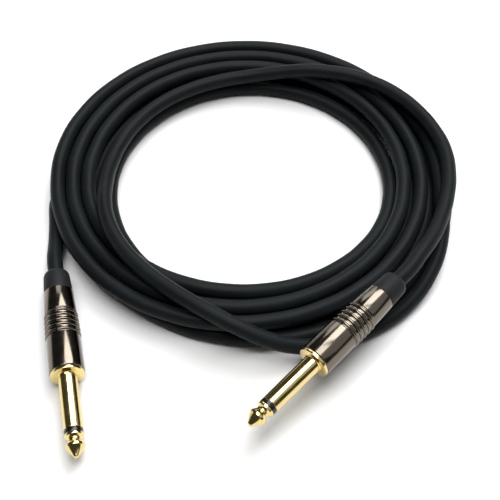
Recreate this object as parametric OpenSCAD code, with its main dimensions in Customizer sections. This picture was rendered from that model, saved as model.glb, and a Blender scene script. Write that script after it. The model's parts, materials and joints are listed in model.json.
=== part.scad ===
/* [Cable] */
// Outer diameter of the cable's jacket
cable_d = 5.7; // [5.2:0.1:6.2]
// Share of the cable's diameter that is pressed flat where it lies on the table
flat_share = 0.1; // [0.05:0.01:0.15]
// Diameter of the inner conductor's insulation
core_d = 2.2; // [1.6:0.1:2.6]
// Diameter of the bare inner conductor
conductor_d = 0.7; // [0.5:0.1:0.9]
// Diameter of the twisted shield at each plug
pigtail_d = 1.2; // [0.9:0.1:1.3]

/* [Coil] */
// Radius of the innermost turn, to the middle of the cable
inner_turn_r = 53.4; // [50:0.1:57]
// Number of whole turns from one end of the coil to the other
whole_turns = 7; // [6:1:9]
// Arc that the coil goes on for past the whole turns
part_turn = 120; // [90:15:150]
// Turns from the lower end to the middle of the climb
lower_turns = 3.65; // [3.6:0.05:3.7]
// Gap between neighbouring turns of a layer
turn_gap = 0.9; // [0.7:0.05:1.2]
// Gap between the two layers
layer_gap = 0.5; // [0.45:0.05:1]
// How far the upper layer is shifted to one side
lean = 2.9; // [2:0.1:3.6]
// Direction in which the upper layer is shifted
lean_at = 210; // [195:1:225]
// Direction in which the lower end of the coil lies
start_at = 184; // [182:1:186]
// Arc over which the cable climbs to the upper layer
climb_arc = 150; // [120:5:180]
// Arc over which the cable takes up the upper layer's shift
lean_arc = 240; // [200:10:280]
// How far the middle of the shift's arc lies before the middle of the climb
lean_lead = 70; // [50:5:90]

/* [Jack plug] */
// Diameter of the plug's barrel
barrel_d = 6.35; // [6.2:0.05:6.5]
// Reach of the plug, from the flange's face to the end of the tip
plug_reach = 30; // [29:0.5:32]
// Length of the tip in front of its insulating ring
tip_len = 8.1; // [7.5:0.1:9.5]
// Width of the insulating ring
ring_w = 1.6; // [0.8:0.1:1.8]
// Step from the barrel down to the ring and the tip
tip_step = 0.05; // [0:0.01:0.1]
// Length of the tip's base, from the ring to the neck
tip_base_len = 0.9; // [0.6:0.1:1.4]
// Diameter of the tip's neck
neck_d = 4.5; // [4:0.1:5]
// Length of the tip's head
head_len = 4.5; // [4.2:0.1:5]
// Width of the band round the tip's head
head_band = 1; // [0.6:0.1:1.4]
// Diameter of the rounded nose at the end of the tip
nose_d = 2; // [1.2:0.1:2.4]
// Diameter of the tip's rod
rod_d = 2; // [1.6:0.1:2.4]
// Wall of the tube round the rod
rod_tube_wall = 0.85; // [0.5:0.05:0.95]
// Diameter of the flange
flange_d = 11.4; // [11:0.1:11.6]
// Thickness of the flange
flange_t = 1; // [0.8:0.1:1.4]
// Outer diameter of the body's thread
thread_d = 9.2; // [9.1:0.05:9.3]
// Length of the body's thread
thread_len = 6; // [5.6:0.1:6.4]
// Pitch of the thread
thread_pitch = 0.75; // [0.5:0.05:1]
// Depth of the thread
thread_depth = 0.4; // [0.3:0.05:0.5]
// Diameter of the hub behind the thread
hub_d = 8.1; // [8:0.05:8.2]
// Length of the hub behind the thread
hub_len = 2; // [1.6:0.1:2.4]

/* [Terminals] */
// Thickness of the metal terminals
lug_t = 0.4; // [0.3:0.05:0.5]
// Width of the ground terminal's strip
strip_w = 2.4; // [2:0.1:2.8]
// Thickness of the insulating washer
washer_t = 0.8; // [0.5:0.1:1.2]
// Diameter of the insulating washer
washer_d = 6.2; // [5:0.1:6.3]
// Diameter of the tip terminal's ring
tip_lug_d = 4.6; // [4.2:0.1:5]
// Width of the tip terminal's tab
tab_w = 1.8; // [1.4:0.1:2.2]
// Length of the tip terminal's tab
tab_len = 3.8; // [3.4:0.1:4.2]
// Diameter of the rivet head on the rod
rivet_d = 3; // [2.6:0.1:3.2]
// Thickness of the rivet head
rivet_t = 0.5; // [0.3:0.1:0.8]
// Distance from the flange's face back to the end of the jacket
jacket_l = 18; // [17.5:0.1:18.5]
// Length of the bare inner conductor, from its insulation to the solder
bare_len = 1.9; // [1.7:0.1:2.3]
// Length of the cable clamp
clamp_len = 3.5; // [3:0.5:4]
// Distance from the end of the jacket to the cable clamp
clamp_set = 1.5; // [1:0.5:2]
// Opening angle between the clamp's arms
clamp_open = 70; // [40:5:90]
// Radius of the solder joint at the tip terminal
tip_solder_r = 0.75; // [0.65:0.05:0.85]
// Radius of the solder joint at the ground terminal
ground_solder_r = 0.9; // [0.8:0.05:1]
// Wall of the insulating tube over the terminals
cover_wall = 0.3; // [0.2:0.05:0.4]
// Length of the insulating tube over the terminals
cover_len = 16.9; // [14:0.1:18]

/* [Shell] */
// Distance from the flange's face to the rear end of the shell
shell_l = 34.2; // [33:0.1:36]
// Diameter of the shell at its front edge
shell_front_d = 11.9; // [11.7:0.1:12.1]
// Diameter of the shell in front of its ribs
shell_mid_d = 11.8; // [11.6:0.1:12]
// Diameter of the shell at its rear edge
shell_rear_d = 10.6; // [10.4:0.1:11.2]
// Diameter of the shell's hollow
hollow_d = 9.6; // [9.5:0.05:9.7]
// Thickness of the lip that holds the boot
lip_t = 1.5; // [1:0.1:2]
// Diameter of the hole in the lip
lip_hole_d = 8.6; // [8.2:0.1:8.8]
// Bevel on the shell's edges
shell_bevel = 0.25; // [0.1:0.05:0.4]
// Number of ribs
rib_count = 5; // [3:1:6]
// Distance from one rib to the next
rib_pitch = 2.05; // [1.9:0.05:2.3]
// Width of a rib
rib_w = 1.1; // [0.9:0.1:1.3]
// Height of the ribs over the shell
rib_rise = 0.3; // [0.2:0.05:0.4]
// Depth of the channel that the ribs stand in
channel_depth = 0.25; // [0.15:0.05:0.3]
// Distance from the flange's face to the middle of the first rib
rib_l = 15.7; // [14:0.1:17]

/* [Boot] */
// Diameter of the boot where it leaves the shell
boot_d = 10.2; // [9.8:0.1:10.4]
// Diameter of the boot in front of its rear shoulder
boot_rear_d = 9.4; // [9:0.1:9.8]
// Length of the boot behind the shell
boot_len = 9; // [7:0.1:10]
// Length of the boot's rounded rear shoulder
boot_round = 2.2; // [1:0.1:3]
// Length of the boot's collar inside the shell
collar_len = 2; // [1.5:0.1:3]

/* [Fits] */
// Clearance between a shell's thread and its body's thread
thread_gap = 0.05; // [0.03:0.01:0.1]
// Clearance between faces that meet when a shell is screwed home
seat_gap = 0.05; // [0.03:0.01:0.1]
// Clearance round a boot's collar and in its groove
boot_gap = 0.1; // [0.05:0.01:0.15]
// Clearance between the cable and a boot
cable_gap = 0.2; // [0.1:0.05:0.3]
// Clearance between fixed pieces inside a plug
fixed_gap = 0.05; // [0.03:0.01:0.1]
// Height of the second plug's rear rim over the top of the coil
rest_gap = 0.3; // [0.2:0.1:1]
// Turns of a shell until it leaves the thread
shell_turns = 7; // [5:1:7]

/* [Hidden] */
$fn = 96;

black_pvc = "#2b3032";
black_rubber = "#26282a";
black_plastic = "#141414";
gold = "#d8b24a";
black_nickel = "#6c675f";
tinned_brass = "#b9b4a4";
bare_copper = "#b87348";
clear_plastic = "#d9dcd8";
solder_grey = "#a9abad";

function sum(v) = [for (x = v) 1] * v;
function unit(v) = v / norm(v);
function level(v) = [v.x, v.y, 0];
// Rises from 0 to 1 with a soft start and end
function ease(t) = let (u = max(0, min(1, t))) u * u * (3 - 2 * u);

// The coil: its turns spiral in along the table, climb a layer and spiral out again.
turn_pitch = cable_d + turn_gap;
layer_rise = cable_d + layer_gap;
cable_z = cable_d * (0.5 - flat_share);
coil_rings = 24;
coil_sides = 6;
ring_step = 360 / coil_rings;
last_ring = floor((whole_turns * 360 + part_turn) / ring_step);
climb_mid = lower_turns * 360;

function climbed(turned) = ease((turned - climb_mid) / climb_arc + 0.5);
function shifted(turned) = ease((turned - climb_mid + lean_lead) / lean_arc + 0.5);
function coil_r(turned) = inner_turn_r + turn_pitch * abs(turned - climb_mid) / 360
  + shifted(turned) * lean * cos(start_at - turned - lean_at);
function coil_point(turned) = [
  coil_r(turned) * cos(start_at - turned),
  coil_r(turned) * sin(start_at - turned),
  cable_z + layer_rise * climbed(turned)
];
wound = [for (i = [0:last_ring]) coil_point(i * ring_step)];
// Direction of the cable at the coil's lower and upper end, from the lower to the upper one
lower_way = unit(level(wound[1] - wound[0]));
upper_way = unit(level(wound[last_ring] - wound[last_ring - 1]));
lower_end = wound[0] - cable_d * lower_way;
upper_end = wound[last_ring] + cable_d * upper_way;
coil_route = concat([lower_end], wound, [upper_end]);

// Least gap of the coil to itself, between each ring and those that are a turn or more further on
next_turn = coil_rings - 2;
least_step = min([for (i = [0:last_ring - next_turn]) min([
  for (j = [i + next_turn:last_ring]) norm(wound[i] - wound[j])])]);
echo(str("Least gap of the coil to itself: ", least_step - cable_d, " mm"));

// The plugs: each has a frame of its own, with the tip along +Z and the flange's face at 0.
// Distances named _l run back from the flange's face to the cable.
channel_l = rib_l - rib_pitch / 2;
channel_end_l = channel_l + rib_count * rib_pitch;
function shell_r(l) = lookup(l, [
  [flange_t, shell_front_d / 2], [channel_l, shell_mid_d / 2], [shell_l, shell_rear_d / 2]]);
shell_travel = shell_turns * thread_pitch;
boot_end_l = shell_l + boot_len;
straight_l = boot_end_l + shell_travel + 1;
layers_top = cable_z + layer_rise + cable_d / 2;

// The first plug lies on its first rib, and the rear rim of the second one is over the coil.
plug_a_turn = 12.4;
plug_a_pitch = 0;
plug_a_at = [-63.4, -89.2, shell_r(rib_l) + rib_rise];
plug_b_turn = -44.4;
plug_b_pitch = 4;
plug_b_at = [17.9, -89.1, layers_top + rest_gap
  + shell_rear_d / 2 * cos(plug_b_pitch) - shell_l * sin(plug_b_pitch)];
function plug_way(turn, pitch) = [sin(turn) * cos(pitch), -cos(turn) * cos(pitch), -sin(pitch)];
plug_a_way = plug_way(plug_a_turn, plug_a_pitch);
plug_b_way = plug_way(plug_b_turn, plug_b_pitch);

// The leads: straight in the plug and over the boot's travel behind it, then free to the coil.
function in_plug(at, way) = [
  for (l = [jacket_l, (jacket_l + boot_end_l) / 2, boot_end_l, straight_l]) at - l * way
];
lead_a_free = [[-76.2, -31, 4], [-77.7, -21, 2.8]];
lead_b_free = [
  [57, -47.5, 18.3], [62.5, -39, 17.4], [67.5, -28.5, 16.2], [71, -17.5, 15.2],
  [73.5, -6.5, 14.2], [75, 5.5, 12.8], [74, 17, 11.4], [70.5, 28.5, 10.1],
  [64, 40, 9.3], [56, 50.5, 8.7], [47.5, 58.5, 8.5]
];
lead_a_route = concat(in_plug(plug_a_at, plug_a_way), lead_a_free, [lower_end]);
lead_b_route = concat(in_plug(plug_b_at, plug_b_way), lead_b_free, [upper_end]);
lead_sides = 12;

function route_length(p) = sum([for (i = [1:len(p) - 1]) norm(p[i] - p[i - 1])]);
echo(str("Length of the cable: ",
  route_length(lead_a_route) + route_length(coil_route) + route_length(lead_b_route), " mm"));

// Tube along a route: a ring of corners at each point, square to the way there, in triangles
function way_at(p, i, first, last) = i == 0 ? first : i == len(p) - 1 ? last
  : unit(unit(p[i] - p[i - 1]) + unit(p[i + 1] - p[i]));
function ring(at, way, r, sides, turn, level_to) =
  let (side = unit(cross(level_to, way)), up = cross(way, side))
  [for (k = [0:sides - 1]) let (a = k * 360 / sides) at + r * (cos(turn + a) * side + sin(turn + a) * up)];
function rings(p, first, last, r, sides, turn, level_to) =
  [for (i = [0:len(p) - 1]) each ring(p[i], way_at(p, i, first, last), r, sides, turn, level_to)];
module skin(corners, sides) {
  o = len(corners) - sides;
  walls = [for (i = [0:sides:o - 1], k = [0:sides - 1])
    let (a = i + k, b = i + (k + 1) % sides) each [[a, a + sides, b], [b, a + sides, b + sides]]];
  caps = [for (k = [1:sides - 2]) each [[0, k, k + 1], [o, o + k + 1, o + k]]];
  polyhedron(corners, concat(walls, caps), convexity = 20);
}
// The jacket is cut flat where it lies on the table.
module swept_cable(p, sides, turn, first, last) {
  skin([for (q = rings(p, first, last, cable_d / 2, sides, turn, [0, 0, 1])) [q.x, q.y, max(q.z, 0)]],
    sides);
}

module cable_coil() {
  color(black_pvc) swept_cable(coil_route, coil_sides, 0, lower_way, upper_way);
}
module lead_a() {
  color(black_pvc) swept_cable(lead_a_route, lead_sides, 15, -plug_a_way, lower_way);
}
module lead_b() {
  color(black_pvc) swept_cable(lead_b_route, lead_sides, 15, -plug_b_way, -upper_way);
}

module at_plug_a() {
  translate(plug_a_at) rotate([90 + plug_a_pitch, 0, plug_a_turn]) children();
}
module at_plug_b() {
  translate(plug_b_at) rotate([90 + plug_b_pitch, 0, plug_b_turn]) children();
}

// Places inside the plug
tip_z = plug_reach - tip_len;
barrel_z = tip_z - ring_w;
tip_r = barrel_d / 2 - tip_step;
thread_l = flange_t + thread_len;
hub_l = thread_l + hub_len;
ground_l = hub_l + lug_t;
washer_l = ground_l + washer_t;
tip_lug_l = washer_l + lug_t;
rivet_l = tip_lug_l + rivet_t;
rod_hole_r = rod_d / 2 + fixed_gap;
rod_tube_r = rod_hole_r + rod_tube_wall;
clamp_r = cable_d / 2 + fixed_gap;
clamp_end_l = jacket_l + clamp_set + clamp_len;
strip_y = clamp_r + lug_t / 2;
tab_y = rivet_d / 2 + 0.1;
conductor_y = tab_y - conductor_d / 2 - fixed_gap;
pigtail_y = -strip_y + pigtail_d / 2 + fixed_gap;
tip_solder_l = washer_l + tab_len * 0.63;
core_l = tip_solder_l + tip_solder_r + bare_len;
ground_solder_l = core_l - 2;
edge = 0.15;

module washer(outer_r, inner_r, t) {
  difference() {
    cylinder(h = t, r = outer_r);
    translate([0, 0, -1]) cylinder(h = t + 2, r = inner_r);
  }
}
// Wire along points in the plane x = 0, which starts and ends along the plug
module wire(points, d) {
  skin(rings(points, [0, 0, 1], [0, 0, 1], d / 2, 8, 22.5, [1, 0, 0]), 8);
}
// Solder round a straight stretch of wire
module solder_bead(y, l, r, wire_d) {
  translate([0, y, -l]) difference() {
    sphere(r = r);
    translate([0, 0, -r - 1]) cylinder(h = 2 * r + 2, d = wire_d);
  }
}

module tip_contact() {
  neck_z = tip_z + tip_base_len + 0.7;
  head_z = plug_reach - head_len;
  neck_end_z = neck_z + (head_z - neck_z) / 4;
  nose_l = 0.6;
  color(gold) rotate_extrude() polygon(concat(
    [[0, -rivet_l], [rivet_d / 2, -rivet_l], [rivet_d / 2, -tip_lug_l], [rod_d / 2, -tip_lug_l],
    [rod_d / 2, tip_z], [tip_r, tip_z], [tip_r, tip_z + tip_base_len], [neck_d / 2, neck_z],
    [neck_d / 2, neck_end_z], [tip_r - edge, head_z - edge], [tip_r, head_z + edge],
    [tip_r, head_z + head_band], [tip_r - edge, head_z + head_band + edge]],
    [for (a = [0:15:90]) [nose_d / 2 * cos(a), plug_reach - nose_l * (1 - sin(a))]]));
}
module tip_insulator() {
  color(black_plastic) translate([0, 0, barrel_z]) washer(tip_r, rod_hole_r, ring_w);
}
module rod_insulator() {
  color(black_plastic) translate([0, 0, -ground_l]) washer(rod_tube_r, rod_hole_r, barrel_z + ground_l);
}
module sleeve() {
  crest = thread_pitch * 0.2;
  root_r = thread_d / 2 - thread_depth;
  grooves = floor((thread_len - thread_pitch) / thread_pitch);
  bore_r = rod_tube_r + fixed_gap;
  color(gold) rotate_extrude() polygon(concat(
    [[bore_r, barrel_z], [bore_r, -hub_l], [hub_d / 2, -hub_l], [hub_d / 2, -thread_l],
    [root_r, -thread_l]],
    [for (i = [0:grooves - 1]) let (z = -thread_l + i * thread_pitch) each [
      [root_r, z + crest], [thread_d / 2, z + thread_pitch / 2 - crest / 2],
      [thread_d / 2, z + thread_pitch / 2 + crest / 2], [root_r, z + thread_pitch]]],
    [[root_r, -flange_t], [flange_d / 2, -flange_t], [flange_d / 2, -edge],
    [flange_d / 2 - edge, 0], [barrel_d / 2, 0], [barrel_d / 2, barrel_z]]));
}
module ground_strip() {
  translate([-strip_w / 2, -strip_y - lug_t, -clamp_end_l]) cube([strip_w, lug_t, clamp_end_l - hub_l]);
}
module ground_terminal() {
  color(tinned_brass) union() {
    translate([0, 0, -ground_l]) washer(strip_y + lug_t, rod_tube_r + fixed_gap, lug_t);
    ground_strip();
    translate([0, 0, -clamp_end_l]) difference() {
      cylinder(h = clamp_len, r = clamp_r + lug_t);
      translate([0, 0, -1]) cylinder(h = clamp_len + 2, r = clamp_r);
      translate([0, 0, -1]) linear_extrude(clamp_len + 2) polygon([[0, 0],
        10 * [-sin(clamp_open / 2), cos(clamp_open / 2)], 10 * [sin(clamp_open / 2), cos(clamp_open / 2)]]);
    }
  }
}
module terminal_washer() {
  color(black_plastic) translate([0, 0, -washer_l]) washer(washer_d / 2, rod_hole_r, washer_t);
}
module tip_tab() {
  translate([-tab_w / 2, tab_y, -washer_l - tab_len]) cube([tab_w, lug_t, tab_len]);
}
module tip_terminal() {
  color(tinned_brass) union() {
    translate([0, 0, -tip_lug_l]) washer(tip_lug_d / 2, rod_hole_r, lug_t);
    tip_tab();
  }
}
module terminal_cover() {
  inner_r = hub_d / 2 + fixed_gap;
  color(clear_plastic) translate([0, 0, -thread_l - fixed_gap - cover_len])
    washer(inner_r + cover_wall, inner_r, cover_len);
}
module core_insulation() {
  color(clear_plastic) translate([0, 0, -jacket_l]) cylinder(h = jacket_l - core_l, d = core_d);
}
module core_conductor() {
  color(bare_copper) wire([[0, 0, -core_l], [0, 0, -core_l + bare_len * 0.3],
    [0, conductor_y, -core_l + bare_len * 0.95], [0, conductor_y, -tip_solder_l + tip_solder_r]],
    conductor_d);
}
module shield_pigtail() {
  jacket_y = -(cable_d - pigtail_d) / 2 + 0.25;
  color(bare_copper) wire([[0, jacket_y, -jacket_l], [0, jacket_y, -jacket_l + 0.5],
    [0, pigtail_y, -jacket_l + 1.5], [0, pigtail_y, -ground_solder_l + ground_solder_r]], pigtail_d);
}
module tip_solder() {
  color(solder_grey) difference() {
    solder_bead(conductor_y, tip_solder_l, tip_solder_r, conductor_d);
    tip_tab();
  }
}
module ground_solder() {
  color(solder_grey) difference() {
    solder_bead(pigtail_y, ground_solder_l, ground_solder_r, pigtail_d);
    ground_strip();
  }
}
// Half an ellipse that stands on the channel's floor
function rib(l) = [for (a = [0:22.5:180]) let (back = l - rib_w / 2 * cos(a))
  [shell_r(back) - channel_depth + (channel_depth + rib_rise) * sin(a), -back]];
// The channel's wall, which slopes over its own depth
function channel_edge(l, way) = [
  [shell_r(l) - channel_depth * (0.5 - way / 2), -l + channel_depth / 2],
  [shell_r(l) - channel_depth * (0.5 + way / 2), -l - channel_depth / 2]
];
module shell() {
  front_l = flange_t + seat_gap;
  thread_r = thread_d / 2 + thread_gap;
  thread_end_l = thread_l + 1.5;
  color(black_nickel) rotate_extrude() polygon(concat(
    [[thread_r + shell_bevel, -front_l], [shell_front_d / 2 - shell_bevel, -front_l],
    [shell_front_d / 2, -front_l - shell_bevel]],
    channel_edge(channel_l, 1),
    [for (i = [0:rib_count - 1]) each rib(rib_l + i * rib_pitch)],
    channel_edge(channel_end_l, -1),
    [[shell_rear_d / 2, -shell_l + shell_bevel], [shell_rear_d / 2 - shell_bevel, -shell_l],
    [lip_hole_d / 2, -shell_l], [lip_hole_d / 2, -shell_l + lip_t], [hollow_d / 2, -shell_l + lip_t],
    [hollow_d / 2, -thread_end_l - edge], [thread_r, -thread_end_l],
    [thread_r, -front_l - shell_bevel]]));
}
module boot() {
  bore_r = cable_d / 2 + cable_gap;
  collar_l = shell_l - lip_t - seat_gap;
  collar_r = hollow_d / 2 - boot_gap;
  groove_r = lip_hole_d / 2 - boot_gap;
  rim_r = bore_r + 0.3;
  color(black_rubber) rotate_extrude() polygon(concat(
    [[bore_r, -collar_l + collar_len], [collar_r - 0.4, -collar_l + collar_len],
    [collar_r, -collar_l + collar_len - 0.6], [collar_r, -collar_l],
    [groove_r, -collar_l], [groove_r, -shell_l - seat_gap], [boot_d / 2 - edge, -shell_l - seat_gap],
    [boot_d / 2, -shell_l - seat_gap - edge]],
    [for (a = [0:15:90])
      [rim_r + (boot_rear_d / 2 - rim_r) * cos(a), -boot_end_l + boot_round * (1 - sin(a))]],
    [[bore_r + 0.1, -boot_end_l], [bore_r, -boot_end_l + 0.1]]));
}

cable_coil();
lead_a();
lead_b();
at_plug_a() tip_contact();  // tip_contact_a
at_plug_a() tip_insulator();  // tip_insulator_a
at_plug_a() rod_insulator();  // rod_insulator_a
at_plug_a() sleeve();  // sleeve_a
at_plug_a() ground_terminal();  // ground_terminal_a
at_plug_a() terminal_washer();  // terminal_washer_a
at_plug_a() tip_terminal();  // tip_terminal_a
at_plug_a() terminal_cover();  // terminal_cover_a
at_plug_a() shell();  // shell_a
at_plug_a() boot();  // boot_a
at_plug_a() core_insulation();  // core_insulation_a
at_plug_a() core_conductor();  // core_conductor_a
at_plug_a() shield_pigtail();  // shield_pigtail_a
at_plug_a() tip_solder();  // tip_solder_a
at_plug_a() ground_solder();  // ground_solder_a
at_plug_b() tip_contact();  // tip_contact_b
at_plug_b() tip_insulator();  // tip_insulator_b
at_plug_b() rod_insulator();  // rod_insulator_b
at_plug_b() sleeve();  // sleeve_b
at_plug_b() ground_terminal();  // ground_terminal_b
at_plug_b() terminal_washer();  // terminal_washer_b
at_plug_b() tip_terminal();  // tip_terminal_b
at_plug_b() terminal_cover();  // terminal_cover_b
at_plug_b() shell();  // shell_b
at_plug_b() boot();  // boot_b
at_plug_b() core_insulation();  // core_insulation_b
at_plug_b() core_conductor();  // core_conductor_b
at_plug_b() shield_pigtail();  // shield_pigtail_b
at_plug_b() tip_solder();  // tip_solder_b
at_plug_b() ground_solder();  // ground_solder_b
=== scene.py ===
import json
import math

import bmesh
import bpy
from mathutils import Matrix, Vector


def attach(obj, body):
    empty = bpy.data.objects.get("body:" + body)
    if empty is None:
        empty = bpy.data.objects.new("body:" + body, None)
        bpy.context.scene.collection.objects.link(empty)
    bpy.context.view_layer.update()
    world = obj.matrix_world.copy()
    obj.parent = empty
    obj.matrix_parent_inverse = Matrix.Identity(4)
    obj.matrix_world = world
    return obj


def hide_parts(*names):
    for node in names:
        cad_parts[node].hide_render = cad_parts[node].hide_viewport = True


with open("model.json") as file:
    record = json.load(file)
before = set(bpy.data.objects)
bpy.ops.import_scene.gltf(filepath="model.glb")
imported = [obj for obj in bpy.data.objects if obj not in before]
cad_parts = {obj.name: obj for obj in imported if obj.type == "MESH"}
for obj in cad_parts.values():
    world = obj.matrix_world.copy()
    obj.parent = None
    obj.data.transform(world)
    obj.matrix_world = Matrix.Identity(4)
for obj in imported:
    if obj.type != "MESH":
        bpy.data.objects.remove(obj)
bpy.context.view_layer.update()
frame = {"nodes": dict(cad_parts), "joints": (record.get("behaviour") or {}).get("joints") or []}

MM = 0.001
UP = Vector((0, 0, 1))


# ---------------------------------------------------------------- camera

IMAGE_SIDE = 500  # pixels
FOCAL_PIXELS = 907.7
SENSOR_MM = 36
LOOK_AT = Vector((-2.6, -31.1, 0)) * MM
CAMERA_DISTANCE = 343 * MM
CAMERA_ANGLE = math.radians(52.08)  # above the table
NEAREST_SEEN = 10 * MM


def add_camera():
    data = bpy.data.cameras.new("camera")
    data.sensor_width = SENSOR_MM
    data.lens = FOCAL_PIXELS * SENSOR_MM / IMAGE_SIDE
    data.clip_start = NEAREST_SEEN
    camera = bpy.data.objects.new("camera", data)
    bpy.context.scene.collection.objects.link(camera)
    away = Vector((0, -math.cos(CAMERA_ANGLE), math.sin(CAMERA_ANGLE)))
    camera.location = LOOK_AT + CAMERA_DISTANCE * away
    camera.rotation_euler = (math.pi / 2 - CAMERA_ANGLE, 0, 0)
    bpy.context.scene.camera = camera


# ---------------------------------------------------------------- sizes, in millimetres and degrees

CABLE_D = 5.7

# Coil: wound inwards on the table, up a layer and outwards again. The turns on the table are as
# in the CAD.
START_AT = 184
INNER_TURN_R = 53.4
TURN_GAP = 0.9
TURN_PITCH = CABLE_D + TURN_GAP
LOWER_TURNS = 3.65
CLIMB_MID = LOWER_TURNS * 360
CLIMB_ARC = 150
LAYER_GAP = 0.5
LAYER_RISE = CABLE_D + LAYER_GAP
LEAN = 2.9
LEAN_AT = 210
LEAN_ARC = 240
LEAN_LEAD = 70
SWEEP = 2310  # here the last turn's own points take over
COIL_STEP = 15
# From about the middle of the climb on, the turns are spread out by this much, and are shifted
# in the given direction
SPREAD = 3.6
SHIFT = 4
SHIFT_AT = 140
SPREAD_FROM = 1296
SPREAD_ARC = 110
# On the left they are drawn together by this share, towards the radius given. A higher power
# makes that stretch shorter.
GATHER = 0.13
GATHER_AT = 194
GATHER_R = 71
GATHER_POWER = 16
# The last turn as (direction, radius, height): round the outside under plug b, up over the
# others to the inner edge of the coil, and back up over them
TOP_TURN = [
    (19, 71.2, 9.05), (4, 70.9, 9.05), (-12, 71.8, 9.05), (-24, 74.9, 8.7), (-36, 77.9, 6.6),
    (-48, 79.3, 3.8), (-60, 79.4, 3.2), (-72, 79.6, 4.6), (-81, 79.2, 7.6), (-88, 77.6, 10.8),
    (-95, 74.9, 13.6), (-102, 72, 15), (-109, 69.4, 15.3), (-118, 67, 15.3), (-129, 65.2, 15.3),
    (-140, 63.8, 15.3), (-152, 62, 15.2), (-161, 60.2, 14.4), (-171, 58.4, 12.4),
    (-184, 57.2, 10.2), (-198, 56.6, 9.4), (-212, 56.2, 9.1), (-226, 55.8, 9.1),
    (-240, 55.4, 9.1), (-254, 55.2, 9.4), (-268, 55.4, 10.2), (-281, 56.1, 12.5),
    (-292, 58.1, 14.5), (-301, 60.6, 15.2),
]

# Leads from the plugs to the coil
LEAD_A = [(-75.2, -31, 4.2), (-76.4, -21, 3.2)]
LEAD_B = [
    (57, -47.5, 18.3), (62.5, -39, 17.4), (67.3, -28.5, 16.4), (71, -17.5, 15.8), (73.2, -6, 15.4),
    (73.3, 6.4, 15.2), (70.8, 16.6, 15.1), (66.1, 26.8, 15.2), (58.8, 36.8, 15.3),
    (49.6, 44.4, 15.5), (39, 49.6, 15.5),
]

# Clearances inside the plug, and the usual broken edge
FIXED_GAP = 0.05
THREAD_GAP = 0.05
SEAT_GAP = 0.05
BOOT_GAP = 0.1
CABLE_GAP = 0.2
EDGE = 0.15

# Plug, along its axis: 0 is the flange's face, the tip is at +Z and the cable at -Z
PLUG_REACH = 30
BARREL_R = 3.175

# Tip: a base, a neck and a head with a rounded nose
TIP_LEN = 8.1
TIP_Z = PLUG_REACH - TIP_LEN
TIP_STEP = 0.05
TIP_R = BARREL_R - TIP_STEP
TIP_BASE_LEN = 0.9
BASE_SLOPE_LEN = 0.3
BASE_SLOPE_R = 2.6
NECK_R = 2.25
NECK_HOLLOW_LEN = 0.4
HEAD_LEN = 4.5
HEAD_Z = PLUG_REACH - HEAD_LEN
HEAD_SLOPE_LEN = 1
HEAD_SLOPE_R = 2.5
HEAD_BAND = 1
NOSE_R = 1
NOSE_LEN = 0.6

# Sleeve: barrel, flange, thread and hub
RING_W = 1.6
BARREL_Z = TIP_Z - RING_W
BARREL_EDGE = 0.1
BARREL_FOOT = 0.25
FLANGE_R = 5.7
FLANGE_T = 1
THREAD_R = 4.6
THREAD_DEPTH = 0.4
THREAD_ROOT_R = THREAD_R - THREAD_DEPTH
THREAD_PITCH = 0.75
THREAD_CREST = THREAD_PITCH / 5
THREAD_RINGS = 7
THREAD_LEN = 6
THREAD_END = -FLANGE_T - THREAD_LEN
HUB_R = 4.05
HUB_LEN = 2
HUB_END = THREAD_END - HUB_LEN

# Centre rod, with the tube round it, and its rivet head behind the lugs and the washer
ROD_R = 1
ROD_TUBE_WALL = 0.85
SLEEVE_BORE_R = ROD_R + ROD_TUBE_WALL + 2 * FIXED_GAP
LUG_T = 0.4
WASHER_T = 0.8
TIP_LUG_END = HUB_END - 2 * LUG_T - WASHER_T
RIVET_R = 1.5
RIVET_T = 0.5
RIVET_ROUND = 0.3
RIVET_END = TIP_LUG_END - RIVET_T

# Shell: a threaded front, a channel with ribs, a taper and a lip at the rear
SHELL_FRONT = -FLANGE_T - SEAT_GAP
SHELL_END = -34.2
SHELL_FRONT_R = 5.95
SHELL_MID_R = 5.9
SHELL_REAR_R = 5.3
SHELL_BEVEL = 0.25
SHELL_THREAD_R = THREAD_R + THREAD_GAP
SHELL_THREAD_RUNOUT = 1.5
SHELL_THREAD_END = THREAD_END - SHELL_THREAD_RUNOUT
HOLLOW_R = 4.8
LIP_T = 1.5
LIP_HOLE_R = 4.3
RIB_RISE = 0.3
RIB_W = 1.1
RIB_PITCH = 2.05
FIRST_RIB = -15.7
RIB_COUNT = 5
CHANNEL_DEPTH = 0.25
CHANNEL_START = FIRST_RIB + RIB_PITCH / 2
CHANNEL_END = CHANNEL_START - RIB_COUNT * RIB_PITCH

# Boot: a collar inside the shell, a neck through its lip, and a rounded end
BOOT_LEN = 9
BOOT_SEAT = SHELL_END - SEAT_GAP
BOOT_END = SHELL_END - BOOT_LEN
BOOT_R = 5.1
BOOT_REAR_R = 4.7
BOOT_ROUND = 2.2
BOOT_BORE_R = CABLE_D / 2 + CABLE_GAP
BOOT_RIM_W = 0.3
BOOT_RIM_R = BOOT_BORE_R + BOOT_RIM_W
BOOT_NECK_R = LIP_HOLE_R - BOOT_GAP
COLLAR_R = HOLLOW_R - BOOT_GAP
COLLAR_LEN = 2
COLLAR_END = SHELL_END + LIP_T + SEAT_GAP
COLLAR_FRONT = COLLAR_END + COLLAR_LEN
COLLAR_TAPER_R = 0.4
COLLAR_TAPER_LEN = 0.6

# The jacket ends inside the plug, and is straight as far back as the shell can slide
JACKET_END = -18
SHELL_TURNS = 7
SLIDE_SPARE = 1
STRAIGHT_END = BOOT_END - SHELL_TURNS * THREAD_PITCH - SLIDE_SPARE

# Meshes: steps in a full turn, steps between two points of the cable's route, and how finely
# the cable is rounded
TURN_STEPS = 96
CABLE_STEPS = 6
CABLE_ROUNDNESS = 8
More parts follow.
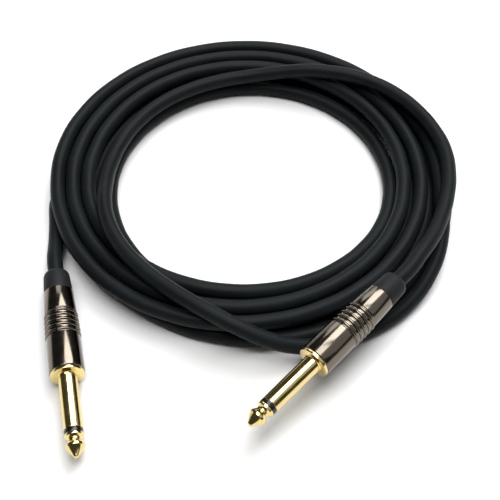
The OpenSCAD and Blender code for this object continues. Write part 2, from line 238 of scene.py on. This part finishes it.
# An edge that bends by more than the first angle is softened, and one that still bends by more
# than the second is shaded crisp
SOFTEN_ABOVE = math.radians(24)
CREASE_ABOVE = math.radians(40)
# Points that are closer than this, in metres, are one
SAME_PLACE = 0.0001 * MM
# The turned pieces' UV map has this many units to a metre of outline
UV_PER_METRE = 100


# ---------------------------------------------------------------- materials

def linear(hex_code):
    channels = [int(hex_code[i:i + 2], 16) / 255 for i in (1, 3, 5)]
    return [c / 12.92 if c <= 0.04045 else ((c + 0.055) / 1.055) ** 2.4 for c in channels] + [1]


def new_material(name, hex_code, roughness, metallic=0, **inputs):
    material = bpy.data.materials.new(name)
    material.use_nodes = True
    shader = material.node_tree.nodes["Principled BSDF"]
    shader.inputs["Base Color"].default_value = linear(hex_code)
    shader.inputs["Roughness"].default_value = roughness
    shader.inputs["Metallic"].default_value = metallic
    for key, value in inputs.items():
        shader.inputs[key.replace("_", " ")].default_value = value
    return material


def add_node(owner, kind, inputs=None, **settings):
    """One node. An input given as a socket is linked, and any other is set."""
    tree = owner.node_tree
    node = tree.nodes.new(kind)
    for key, value in settings.items():
        setattr(node, key, value)
    for key, value in (inputs or {}).items():
        if isinstance(value, bpy.types.NodeSocket):
            tree.links.new(value, node.inputs[key])
        else:
            node.inputs[key].default_value = value
    return node


def feed(material, key, socket):
    material.node_tree.links.new(socket, material.node_tree.nodes["Principled BSDF"].inputs[key])


def per_metre(size):
    """How often a size in millimetres fits into a metre, which is a pattern's scale."""
    return 1 / (size * MM)


def jacket_pvc():
    # Soft PVC, extruded: black with a cool cast, and a satin skin that the die leaves slightly
    # uneven. Its real grain is too fine to show, and is drawn as coarse as 0.385 mm.
    material = new_material("black_pvc_jacket", "#16191b", 0.45, Specular_IOR_Level=0.09)
    place = add_node(material, "ShaderNodeTexCoord").outputs["Object"]
    patches = add_node(material, "ShaderNodeTexNoise", {
        "Vector": place, "Scale": per_metre(16.7), "Detail": 4, "Roughness": 0.55}).outputs["Fac"]
    tones = add_node(material, "ShaderNodeValToRGB", {"Fac": patches})
    stops = zip(tones.color_ramp.elements, [(0.3, "#121516"), (0.7, "#191d1f")])
    for element, (position, hex_code) in stops:
        element.position = position
        element.color = linear(hex_code)
    feed(material, "Base Color", tones.outputs["Color"])
    dullness = add_node(material, "ShaderNodeMapRange", {
        "Value": patches, "From Min": 0.25, "From Max": 0.75, "To Min": 0.4, "To Max": 0.52})
    feed(material, "Roughness", dullness.outputs["Result"])
    grain = add_node(material, "ShaderNodeTexNoise", {
        "Vector": place, "Scale": per_metre(0.385), "Detail": 2}).outputs["Fac"]
    waves = add_node(material, "ShaderNodeTexNoise", {
        "Vector": place, "Scale": per_metre(3.85), "Detail": 2}).outputs["Fac"]
    skin = add_node(material, "ShaderNodeBump", {
        "Height": grain, "Strength": 0.25, "Distance": 0.03 * MM}).outputs["Normal"]
    uneven = add_node(material, "ShaderNodeBump", {
        "Height": waves, "Strength": 0.25, "Distance": 0.1 * MM, "Normal": skin})
    feed(material, "Normal", uneven.outputs["Normal"])
    return material


def boot_rubber():
    # Thermoplastic rubber, moulded: black, with a dull skin from a spark-eroded mould. The real
    # grain is too fine to show, and is drawn as coarse as 0.333 mm.
    material = new_material("black_rubber_boot", "#222324", 0.5, Specular_IOR_Level=0.12)
    place = add_node(material, "ShaderNodeTexCoord").outputs["Object"]
    patches = add_node(material, "ShaderNodeTexNoise", {
        "Vector": place, "Scale": per_metre(6.67), "Detail": 3}).outputs["Fac"]
    dullness = add_node(material, "ShaderNodeMapRange", {
        "Value": patches, "From Min": 0.3, "From Max": 0.7, "To Min": 0.42, "To Max": 0.58})
    feed(material, "Roughness", dullness.outputs["Result"])
    grain = add_node(material, "ShaderNodeTexNoise", {
        "Vector": place, "Scale": per_metre(0.333), "Detail": 2}).outputs["Fac"]
    skin = add_node(material, "ShaderNodeBump", {
        "Height": grain, "Strength": 0.35, "Distance": 0.05 * MM})
    feed(material, "Normal", skin.outputs["Normal"])
    return material


def turned_metal(name, hex_code, roughness, hazy):
    # Brass, turned, polished and plated: a clear mirror with a faint haze of handling. Its tool
    # lines run all the way round. They are too fine to show, and are drawn 0.167 mm apart.
    material = new_material(name, hex_code, roughness, metallic=1)
    turned = add_node(material, "ShaderNodeUVMap", uv_map="turned").outputs["UV"]
    drawn_out = add_node(material, "ShaderNodeMapping", {
        "Vector": turned, "Scale": (0.6, per_metre(0.167) / UV_PER_METRE, 1)}).outputs["Vector"]
    lines = add_node(material, "ShaderNodeTexNoise", {
        "Vector": drawn_out, "Scale": 1, "Detail": 3, "Roughness": 0.6}).outputs["Fac"]
    cut = add_node(material, "ShaderNodeBump", {
        "Height": lines, "Strength": 0.5, "Distance": 0.006 * MM})
    feed(material, "Normal", cut.outputs["Normal"])
    place = add_node(material, "ShaderNodeTexCoord").outputs["Object"]
    haze = add_node(material, "ShaderNodeTexNoise", {
        "Vector": place, "Scale": per_metre(4.55), "Detail": 4, "Roughness": 0.6}).outputs["Fac"]
    dullness = add_node(material, "ShaderNodeMapRange", {
        "Value": haze, "From Min": 0.35, "From Max": 0.75, "To Min": roughness, "To Max": hazy})
    feed(material, "Roughness", dullness.outputs["Result"])
    return material


def even_finish(name, hex_code, roughness, metallic=0, **inputs):
    """One tone all over, on a surface that waves slightly every millimetre or so."""
    material = new_material(name, hex_code, roughness, metallic, **inputs)
    place = add_node(material, "ShaderNodeTexCoord").outputs["Object"]
    waves = add_node(material, "ShaderNodeTexNoise", {
        "Vector": place, "Scale": per_metre(1.11), "Detail": 3}).outputs["Fac"]
    surface = add_node(material, "ShaderNodeBump", {
        "Height": waves, "Strength": 0.4, "Distance": 0.03 * MM})
    feed(material, "Normal", surface.outputs["Normal"])
    return material


JACKET = jacket_pvc()
RUBBER = boot_rubber()
# Gold flash over nickel: warm yellow and bright, thin enough to keep the polish of the turning
GOLD = turned_metal("gold_plate", "#e4ce8e", 0.1, 0.2)
# Black nickel over polished brass: a dark warm mirror
BLACK_NICKEL = turned_metal("black_nickel_plate", "#6e675d", 0.12, 0.22)
# Acetal, moulded into rings and washers: black and glossy
BLACK_PLASTIC = even_finish("black_moulded_acetal", "#0d0d0e", 0.22)
# Brass sheet, stamped and tinned: pale grey with a soft shine
TINNED = even_finish("tinned_brass_sheet", "#b9b4a6", 0.35, metallic=1)
# Copper, drawn into strands and left bare: reddish, half dull
COPPER = even_finish("bare_copper_strands", "#c1764d", 0.38, metallic=1)
# Solder, set in beads: bright grey
SOLDER = even_finish("solder", "#b4b6b8", 0.3, metallic=1)
# PVC tube, extruded clear: smooth, with the terminals showing through
CLEAR = even_finish("clear_pvc_tube", "#dfe3df", 0.25, Transmission_Weight=0.6, IOR=1.53)
# Polyethylene, extruded round the core: milky white and waxy
CORE = even_finish("polyethylene_insulation", "#e6e4dc", 0.4)


# ---------------------------------------------------------------- making pieces

def link(name, data):
    piece = bpy.data.objects.new(name, data)
    bpy.context.scene.collection.objects.link(piece)
    return piece


def map_turned(bm):
    """The UV map that the tool lines follow: round the axis in turns, and along the outline."""
    uv = bm.loops.layers.uv.new("turned")
    for face in bm.faces:
        middle = face.calc_center_median()
        start = math.atan2(middle.y, middle.x)
        for loop in face.loops:
            co = loop.vert.co
            turn = math.atan2(co.y, co.x) - start
            turn = (turn + math.pi) % (2 * math.pi) - math.pi
            along = co.z + math.hypot(co.x, co.y)
            loop[uv].uv = ((start + turn) / (2 * math.pi), along * UV_PER_METRE)


def lathe(name, outline, place, material, soften):
    """A turned piece: its outline as (radius, height) is spun round Z, its edges are softened by
    the size given, and it is put in place."""
    bm = bmesh.new()
    points = [bm.verts.new((r * MM, 0, z * MM)) for r, z in outline]
    starts_on_axis = outline[0][0] == 0
    chain = points if starts_on_axis else points + points[:1]
    sides = [bm.edges.new(pair) for pair in zip(chain, chain[1:])]
    bmesh.ops.spin(bm, geom=points + sides, cent=(0, 0, 0), axis=(0, 0, 1),
                   angle=2 * math.pi, steps=TURN_STEPS, use_merge=True)
    bmesh.ops.remove_doubles(bm, verts=bm.verts, dist=SAME_PLACE)
    bmesh.ops.recalc_face_normals(bm, faces=bm.faces)
    corners = [e for e in bm.edges if e.calc_face_angle(0) > SOFTEN_ABOVE
               and abs(e.verts[0].co.z - e.verts[1].co.z) < SAME_PLACE]
    bmesh.ops.bevel(bm, geom=corners, offset=soften * MM, offset_type="OFFSET", segments=2,
                    profile=0.5, affect="EDGES", clamp_overlap=True, material=-1)
    map_turned(bm)
    for face in bm.faces:
        face.smooth = True
    for edge in bm.edges:
        edge.smooth = edge.calc_face_angle(0) <= CREASE_ABOVE
    bm.transform(place)
    mesh = bpy.data.meshes.new(name)
    bm.to_mesh(mesh)
    bm.free()
    mesh.materials.append(material)
    return link(name, mesh)


def stand_for(piece, node, body):
    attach(piece, body)
    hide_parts(node)


def arc(x, z, wide, high, first, last, steps):
    """Points on an oval round (x, z), from the first angle to the last."""
    angles = [math.radians(first + (last - first) * i / steps) for i in range(steps + 1)]
    return [(x + wide * math.cos(a), z + high * math.sin(a)) for a in angles]


# ---------------------------------------------------------------- cable

def plug_place(letter):
    """The plug's own frame, from its shell's joint, whose axis points along the cable."""
    joint = next(j for j in frame["joints"] if j["name"] == f"shell_{letter}_turn")
    tip_way = -Vector(joint["axis"]).normalized()
    across = UP.cross(tip_way).normalized()
    turned = Matrix((across, tip_way.cross(across), tip_way)).transposed()
    return Matrix.Translation(Vector(joint["pos_m"])) @ turned.to_4x4()


def ease(t):
    t = min(max(t, 0), 1)
    return t * t * (3 - 2 * t)


def round_coil(direction, r, z):
    return Vector((r * math.cos(math.radians(direction)), r * math.sin(math.radians(direction)), z))


def coil_point(turned):
    """A point of the coil, by how far the cable has turned since it reached the coil."""
    at = START_AT - turned
    climbed = ease((turned - CLIMB_MID) / CLIMB_ARC + 0.5)
    leaning = ease((turned - CLIMB_MID + LEAN_LEAD) / LEAN_ARC + 0.5)
    r = INNER_TURN_R + TURN_PITCH * abs(turned - CLIMB_MID) / 360
    r += leaning * LEAN * math.cos(math.radians(at - LEAN_AT))
    upper = ease((turned - SPREAD_FROM) / SPREAD_ARC)
    r += upper * (SPREAD + SHIFT * math.cos(math.radians(at - SHIFT_AT)))
    near = max(0, math.cos(math.radians(at - GATHER_AT))) ** GATHER_POWER
    r += upper * near * GATHER * (GATHER_R - r)
    return round_coil(at, r, CABLE_D / 2 + LAYER_RISE * climbed)


def level(v):
    return Vector((v.x, v.y, 0)).normalized()


def lead(place, free):
    """A lead: it starts where the jacket ends inside its plug, runs straight through the boot,
    and goes on to the coil by the free points."""
    stations = (JACKET_END, (JACKET_END + BOOT_END) / 2, BOOT_END, STRAIGHT_END)
    inside = [place @ (UP * z * MM) / MM for z in stations]
    return inside + [Vector(p) for p in free]


def cable_route():
    """Lead a, the coil's turns, the last turn over them, and lead b back to its plug."""
    turns = [coil_point(t) for t in range(0, SWEEP + 1, COIL_STEP)]
    run_in = turns[0] - CABLE_D * level(turns[1] - turns[0])
    top = [round_coil(*point) for point in TOP_TURN]
    back = list(reversed(lead(plug_place("b"), LEAD_B)))
    return lead(plug_place("a"), LEAD_A) + [run_in] + turns + top + back


def make_cable():
    route = [p * MM for p in cable_route()]
    data = bpy.data.curves.new("cable", "CURVE")
    data.dimensions = "3D"
    data.resolution_u = CABLE_STEPS
    data.bevel_depth = CABLE_D / 2 * MM
    data.bevel_resolution = CABLE_ROUNDNESS
    data.use_fill_caps = True
    line = data.splines.new("BEZIER")
    line.bezier_points.add(len(route) - 1)
    for point, place in zip(line.bezier_points, route):
        point.co = place
        point.handle_left_type = "AUTO"
        point.handle_right_type = "AUTO"
    cable = link("cable", data)
    data.materials.append(JACKET)
    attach(cable, "root")
    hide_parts("cable_coil", "lead_a", "lead_b")


# ---------------------------------------------------------------- plug pieces

def make_tip(letter, place):
    base_end = TIP_Z + TIP_BASE_LEN
    base_slope_end = base_end + BASE_SLOPE_LEN
    head_slope_start = HEAD_Z - HEAD_SLOPE_LEN
    band_end = HEAD_Z + HEAD_BAND
    rivet_edge = arc(RIVET_R - RIVET_ROUND, RIVET_END + RIVET_ROUND, RIVET_ROUND, RIVET_ROUND,
                     -90, 0, 3)
    nose = arc(0, PLUG_REACH - NOSE_LEN, NOSE_R, NOSE_LEN, 0, 75, 5)
    outline = [(0, RIVET_END)] + rivet_edge + [
        (RIVET_R, TIP_LUG_END), (ROD_R, TIP_LUG_END), (ROD_R, TIP_Z), (TIP_R, TIP_Z),
        (TIP_R, base_end), (BASE_SLOPE_R, base_slope_end),
        (NECK_R, base_slope_end + NECK_HOLLOW_LEN), (NECK_R, head_slope_start - NECK_HOLLOW_LEN),
        (HEAD_SLOPE_R, head_slope_start), (TIP_R - EDGE, HEAD_Z - EDGE), (TIP_R, HEAD_Z + EDGE),
        (TIP_R, band_end), (TIP_R - EDGE, band_end + EDGE)] + nose + [(0, PLUG_REACH)]
    tip = lathe(f"tip_{letter}", outline, place, GOLD, soften=0.06)
    stand_for(tip, f"tip_contact_{letter}", "root")


def make_ring(letter, place):
    hole_r = ROD_R + FIXED_GAP
    outline = [(hole_r, BARREL_Z), (TIP_R, BARREL_Z), (TIP_R, TIP_Z), (hole_r, TIP_Z)]
    ring = lathe(f"insulating_ring_{letter}", outline, place, BLACK_PLASTIC, soften=0.04)
    stand_for(ring, f"tip_insulator_{letter}", "root")


def make_sleeve(letter, place):
    thread = []
    for i in range(THREAD_RINGS):
        z = THREAD_END + i * THREAD_PITCH
        thread += [(THREAD_ROOT_R, z + THREAD_CREST),
                   (THREAD_R, z + (THREAD_PITCH - THREAD_CREST) / 2),
                   (THREAD_R, z + (THREAD_PITCH + THREAD_CREST) / 2),
                   (THREAD_ROOT_R, z + THREAD_PITCH)]
    outline = [(SLEEVE_BORE_R, BARREL_Z), (SLEEVE_BORE_R, HUB_END), (HUB_R, HUB_END),
               (HUB_R, THREAD_END), (THREAD_ROOT_R, THREAD_END)] + thread
    outline += [
        (THREAD_ROOT_R, -FLANGE_T), (FLANGE_R, -FLANGE_T), (FLANGE_R, 0),
        (BARREL_R + BARREL_FOOT, 0), (BARREL_R, BARREL_FOOT),
        (BARREL_R, BARREL_Z - BARREL_EDGE), (BARREL_R - BARREL_EDGE, BARREL_Z)]
    sleeve = lathe(f"sleeve_{letter}_gold", outline, place, GOLD, soften=0.08)
    stand_for(sleeve, f"sleeve_{letter}", "root")


def shell_r(z):
    share = (CHANNEL_START - z) / (CHANNEL_START - SHELL_END)
    return SHELL_MID_R + (SHELL_REAR_R - SHELL_MID_R) * share


def channel_edge(z, way):
    """Top and foot of the wall at one end of the ribs' channel."""
    top = (shell_r(z), z + way * CHANNEL_DEPTH / 2)
    return [top, (shell_r(z) - CHANNEL_DEPTH, z - way * CHANNEL_DEPTH / 2)]


def rib(middle):
    """Half an oval that stands on the channel's floor."""
    return [(shell_r(z) - CHANNEL_DEPTH + rise, z) for rise, z in
            arc(0, middle, CHANNEL_DEPTH + RIB_RISE, RIB_W / 2, 90, -90, 10)]


def make_shell(letter, place):
    outline = [(SHELL_THREAD_R + SHELL_BEVEL, SHELL_FRONT),
               (SHELL_FRONT_R - SHELL_BEVEL, SHELL_FRONT),
               (SHELL_FRONT_R, SHELL_FRONT - SHELL_BEVEL)] + channel_edge(CHANNEL_START, 1)
    for i in range(RIB_COUNT):
        outline += rib(FIRST_RIB - i * RIB_PITCH)
    outline += channel_edge(CHANNEL_END, -1)[::-1] + [
        (SHELL_REAR_R, SHELL_END), (LIP_HOLE_R, SHELL_END), (LIP_HOLE_R, SHELL_END + LIP_T),
        (HOLLOW_R, SHELL_END + LIP_T), (HOLLOW_R, SHELL_THREAD_END - EDGE),
        (SHELL_THREAD_R, SHELL_THREAD_END), (SHELL_THREAD_R, SHELL_FRONT - SHELL_BEVEL)]
    shell = lathe(f"shell_{letter}_plated", outline, place, BLACK_NICKEL, soften=0.12)
    stand_for(shell, f"shell_{letter}", f"shell_{letter}")


def make_boot(letter, place):
    outline = [(BOOT_BORE_R, COLLAR_FRONT), (COLLAR_R - COLLAR_TAPER_R, COLLAR_FRONT),
               (COLLAR_R, COLLAR_FRONT - COLLAR_TAPER_LEN), (COLLAR_R, COLLAR_END),
               (BOOT_NECK_R, COLLAR_END), (BOOT_NECK_R, BOOT_SEAT), (BOOT_R, BOOT_SEAT)]
    outline += arc(BOOT_RIM_R, BOOT_END + BOOT_ROUND, BOOT_REAR_R - BOOT_RIM_R, BOOT_ROUND,
                   0, -90, 8)
    outline += [(BOOT_BORE_R + EDGE, BOOT_END), (BOOT_BORE_R, BOOT_END + EDGE)]
    boot = lathe(f"boot_{letter}_rubber", outline, place, RUBBER, soften=0.1)
    stand_for(boot, f"boot_{letter}", f"boot_{letter}")


# The pieces inside the plug are the CAD's own, and get their finish here
INNER_FINISH = {
    "rod_insulator": BLACK_PLASTIC, "terminal_washer": BLACK_PLASTIC, "tip_terminal": TINNED,
    "ground_terminal": TINNED, "terminal_cover": CLEAR, "core_insulation": CORE,
    "core_conductor": COPPER, "shield_pigtail": COPPER, "tip_solder": SOLDER,
    "ground_solder": SOLDER,
}


def finish_inner_pieces(letter):
    for stem, material in INNER_FINISH.items():
        node = frame["nodes"][f"{stem}_{letter}"]
        for slot in node.material_slots:
            slot.material = material


# ---------------------------------------------------------------- floor and light

FLOOR_SIDE = 1.6  # metres

# Heights on a sphere of radius 1 round the scene: the room is white up to the first, and as dark
# as DARK says from the second on
WHITE_TO = 0.04
DARK_FROM = 0.14
DARK = 0.05

# Name, place and size in metres, power in watts
LIGHTS = [
    ("key_softbox", (0.6, 1.1, 1.9), (1.4, 1.4), 40),
    ("top_softbox", (-0.1, -0.15, 2), (1.3, 1.3), 30),
    ("back_card", (-0.2, 1.35, 0.7), (0.6, 0.8), 3),
    ("right_card", (0.83, -0.03, 1), (1.4, 1.4), 3.1),
]


def add_floor():
    bm = bmesh.new()
    bmesh.ops.create_grid(bm, x_segments=1, y_segments=1, size=FLOOR_SIDE / 2)
    mesh = bpy.data.meshes.new("floor")
    bm.to_mesh(mesh)
    bm.free()
    floor = link("floor", mesh)
    mesh.materials.append(new_material("pale_floor", "#f4f4f4", 0.9, Specular_IOR_Level=0.1))


def add_light(name, place, size, power):
    data = bpy.data.lights.new(name, "AREA")
    data.shape = "RECTANGLE"
    data.size, data.size_y = size
    data.energy = power
    light = link(name, data)
    light.location = place
    light.rotation_euler = (LOOK_AT - Vector(place)).to_track_quat("-Z", "Y").to_euler()


def add_room():
    """A dark room, white up to just above the horizon, where it goes on from the floor's edge."""
    room = bpy.data.worlds.new("studio")
    room.use_nodes = True
    way = add_node(room, "ShaderNodeTexCoord").outputs["Generated"]
    height = add_node(room, "ShaderNodeSeparateXYZ", {"Vector": way}).outputs["Z"]
    shade = add_node(room, "ShaderNodeMapRange", {
        "Value": height, "From Min": WHITE_TO, "From Max": DARK_FROM, "To Min": 1,
        "To Max": DARK}).outputs["Result"]
    room.node_tree.links.new(shade, room.node_tree.nodes["Background"].inputs["Color"])
    bpy.context.scene.world = room


def light_scene():
    add_room()
    for light in LIGHTS:
        add_light(*light)
    bpy.context.scene.view_settings.view_transform = "Standard"


add_camera()
make_cable()
for plug in ("a", "b"):
    spot = plug_place(plug)
    make_tip(plug, spot)
    make_ring(plug, spot)
    make_sleeve(plug, spot)
    make_shell(plug, spot)
    make_boot(plug, spot)
    finish_inner_pieces(plug)
add_floor()
light_scene()
